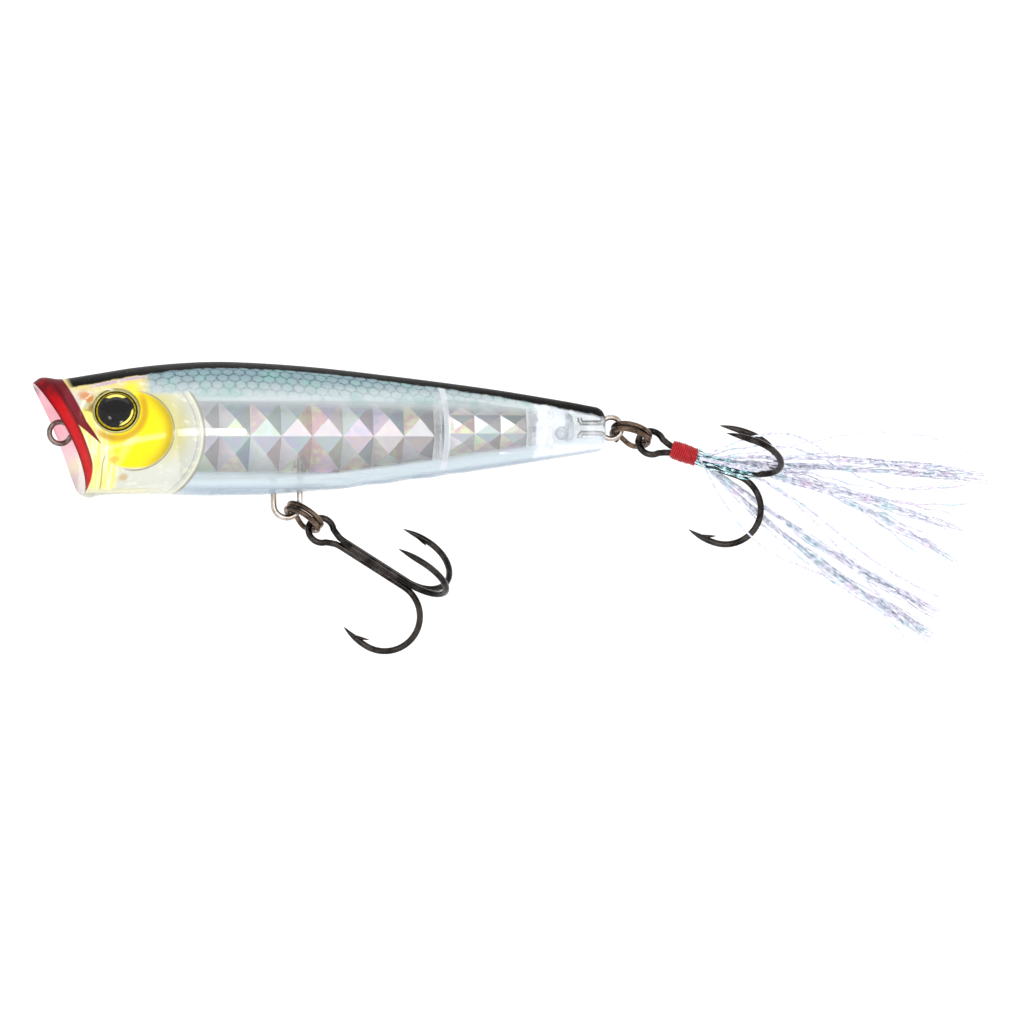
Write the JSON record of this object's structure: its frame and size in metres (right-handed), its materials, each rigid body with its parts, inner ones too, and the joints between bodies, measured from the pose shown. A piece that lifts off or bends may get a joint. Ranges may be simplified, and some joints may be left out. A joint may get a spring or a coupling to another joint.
{
  "type": "topwater popper",
  "caption": "Slim cup-mouthed popper lure: clear two-half body with prism panels inside, domed eyes, treble hooks on split rings, red thread and a tinsel tail.",
  "frame": {"origin": "centre of the line tie's ring, in the mouth", "axes": "+X towards the tail, +Y towards the lure's right side, +Z towards the back"},
  "size_m": [0.1265, 0.0187, 0.0381],
  "materials": {
    "clear_shell": "clear moulded ABS, painted dark on the back, red at the mouth and yellow on the cheek",
    "prism": "vacuum-metallised reflector plastic with a faint rainbow",
    "eye_foil": "printed gold foil plate",
    "eye_lens": "glossy clear lens over a black pupil",
    "weight": "plain steel ball",
    "steel_wire": "drawn stainless wire",
    "split_ring": "dark nickel plated spring wire",
    "hook": "black nickel plated hook wire",
    "thread": "wound and lacquered red thread",
    "tinsel": "twisted pearl film strands"
  },
  "bodies": {
    "root": {"left_body_shell": "clear_shell", "right_body_shell": "clear_shell", "left_prism_panel": "prism", "right_prism_panel": "prism", "left_tail_prism": "prism", "right_tail_prism": "prism", "left_eye_disc": "eye_foil", "right_eye_disc": "eye_foil", "left_eye_dome": "eye_lens", "right_eye_dome": "eye_lens", "tail_weight": "weight", "line_tie": "steel_wire", "belly_hanger": "steel_wire", "tail_hanger": "steel_wire"},
    "belly_ring": {"belly_split_ring": "split_ring"},
    "tail_ring": {"tail_split_ring": "split_ring"},
    "belly_treble": {"belly_treble_double": "hook", "belly_treble_single": "hook"},
    "tail_treble": {"tail_treble_double": "hook", "tail_treble_single": "hook", "thread_wrap": "thread", "tinsel_upper": "tinsel", "tinsel_middle": "tinsel", "tinsel_lower_near": "tinsel", "tinsel_lower_far": "tinsel"}
  },
  "joints": [
    {"name": "belly_ring_swing", "type": "hinge", "parent": "root", "child": "belly_ring", "pos_m": [0.02962, 0, -0.00927], "axis": [0, 1, 0], "range_deg": [-20, 85]},
    {"name": "belly_treble_swing", "type": "hinge", "parent": "belly_ring", "child": "belly_treble", "pos_m": [0.03383, 0, -0.01233], "axis": [0, 1, 0], "range_deg": [-12, 25]},
    {"name": "tail_ring_swing", "type": "hinge", "parent": "root", "child": "tail_ring", "pos_m": [0.0722, 0, 0.00065], "axis": [0, 1, 0], "range_deg": [-60, 45]},
    {"name": "tail_treble_swing", "type": "hinge", "parent": "tail_ring", "child": "tail_treble", "pos_m": [0.07712, 0, -0.00102], "axis": [0, 1, 0], "range_deg": [-40, 30]}
  ]
}
